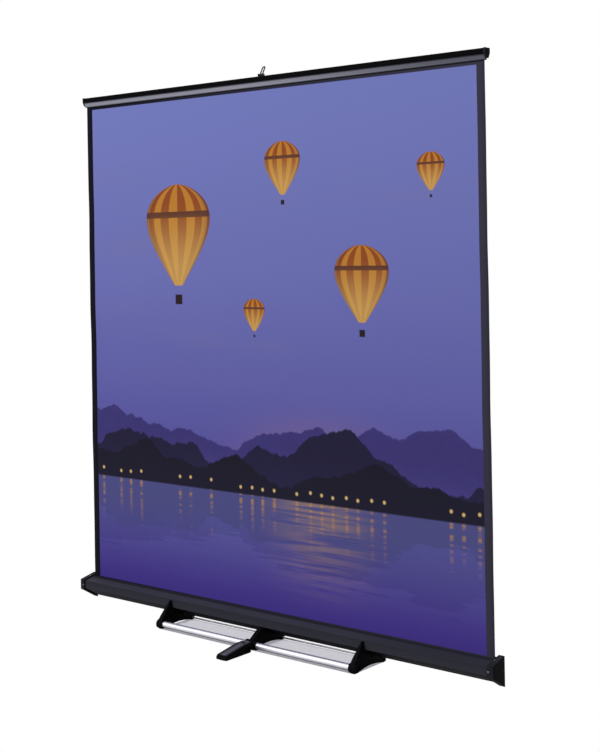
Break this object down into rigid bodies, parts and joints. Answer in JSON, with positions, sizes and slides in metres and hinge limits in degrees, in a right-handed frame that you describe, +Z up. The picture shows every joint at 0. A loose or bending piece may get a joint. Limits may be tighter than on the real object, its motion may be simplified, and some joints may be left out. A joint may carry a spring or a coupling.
{
  "type": "floor-standing projection screen",
  "caption": "Square fabric screen pulled up from a long floor case onto a telescoping rear mast, with moulded feet, cross tubes, a swing-out front leg and a top rail with a wire bail.",
  "frame": {"origin": "on the floor, in the middle of the bounding box", "axes": "+Z up, X along the case, the viewer stands at -Y in front of the picture side"},
  "size_m": [2.506, 0.43, 2.704],
  "materials": {
    "case_enamel": "satin charcoal enamel on an extrusion",
    "rail_enamel": "satin black enamel on an extrusion",
    "cap_plastic": "fine matt black moulding",
    "foot_plastic": "fine matt dark grey moulding",
    "trim_plastic": "matt black strip",
    "cross_tube_metal": "silver anodised",
    "mast_metal": "drawn tube",
    "roller_metal": "mill",
    "fastener_steel": "zinc plated",
    "bail_wire": "dark plated wire",
    "spring_steel": "oiled spring steel",
    "screen_cloth": "matte white with black borders",
    "pad_rubber": "matt"
  },
  "bodies": {
    "base": {"case_shell": "case_enamel", "front_slot_trim": "trim_plastic", "rear_slot_trim": "trim_plastic", "left_end_cap": "cap_plastic", "right_end_cap": "cap_plastic", "cap_screws": "fastener_steel", "roller_bush": "cap_plastic", "spring_shaft": "spring_steel", "screen_fabric": "screen_cloth", "left_foot": "foot_plastic", "centre_foot": "foot_plastic", "right_foot": "foot_plastic", "front_foot_pads": "pad_rubber", "rear_foot_pads": "pad_rubber", "case_bolts": "fastener_steel", "front_cross_tube": "cross_tube_metal", "rear_cross_tube": "cross_tube_metal", "tube_plugs": "cap_plastic", "leg_pivot_bolt": "fastener_steel", "mast_socket": "foot_plastic", "socket_screws": "fastener_steel", "mast_lower": "mast_metal", "lower_collar": "foot_plastic"},
    "rail": {"top_rail": "rail_enamel", "left_rail_cap": "cap_plastic", "right_rail_cap": "cap_plastic", "hem_rod": "roller_metal", "rail_hanger": "fastener_steel", "hanger_rivets": "fastener_steel", "bail_bracket": "bail_wire", "bail_pin": "fastener_steel"},
    "bail_handle": {"bail": "bail_wire"},
    "roller": {"roller_tube": "roller_metal", "fabric_roll": "screen_cloth", "roller_gudgeon": "roller_metal", "spring_plug": "cap_plastic", "counterbalance_spring": "spring_steel"},
    "middle_section": {"mast_middle": "mast_metal", "middle_glide": "cap_plastic", "upper_collar": "foot_plastic"},
    "upper_section": {"mast_upper": "mast_metal", "upper_glide": "cap_plastic", "mast_hook": "foot_plastic"},
    "lower_clamp": {"lower_knob": "cap_plastic"},
    "upper_clamp": {"upper_knob": "cap_plastic"},
    "front_leg": {"swing_leg": "foot_plastic", "leg_pad": "pad_rubber"}
  },
  "joints": [
    {"name": "screen_height", "type": "slide", "parent": "base", "child": "rail", "axis": [0, 0, 1], "range_m": [-1.5, 0], "deforming": ["screen_fabric"]},
    {"name": "middle_slide", "type": "slide", "parent": "base", "child": "middle_section", "axis": [0, 0, 1], "range_m": [-0.75, 0]},
    {"name": "upper_slide", "type": "slide", "parent": "middle_section", "child": "upper_section", "axis": [0, 0, 1], "range_m": [-0.75, 0]},
    {"name": "roller_spin", "type": "hinge", "parent": "base", "child": "roller", "pos_m": [0, 0.1102, 0.104], "axis": [1, 0, 0], "range_deg": [-4200, 0]},
    {"name": "leg_swing", "type": "hinge", "parent": "base", "child": "front_leg", "pos_m": [0, -0.061, 0.03], "axis": [0, 0, 1], "range_deg": [0, 90]},
    {"name": "bail_swing", "type": "hinge", "parent": "rail", "child": "bail_handle", "pos_m": [0, 0.131, 2.662], "axis": [1, 0, 0], "range_deg": [0, 120]},
    {"name": "lower_clamp_turn", "type": "hinge", "parent": "base", "child": "lower_clamp", "pos_m": [0.03, 0.175, 1.01], "axis": [1, 0, 0], "range_deg": [0, 360]},
    {"name": "upper_clamp_turn", "type": "hinge", "parent": "middle_section", "child": "upper_clamp", "pos_m": [0.03, 0.175, 1.86], "axis": [1, 0, 0], "range_deg": [0, 360]}
  ],
  "couplings": [
    {"joint": "middle_slide", "follows": "screen_height", "ratio": 0.5},
    {"joint": "upper_slide", "follows": "screen_height", "ratio": 0.5},
    {"joint": "roller_spin", "follows": "screen_height", "rad_per_m": 48.78}
  ]
}
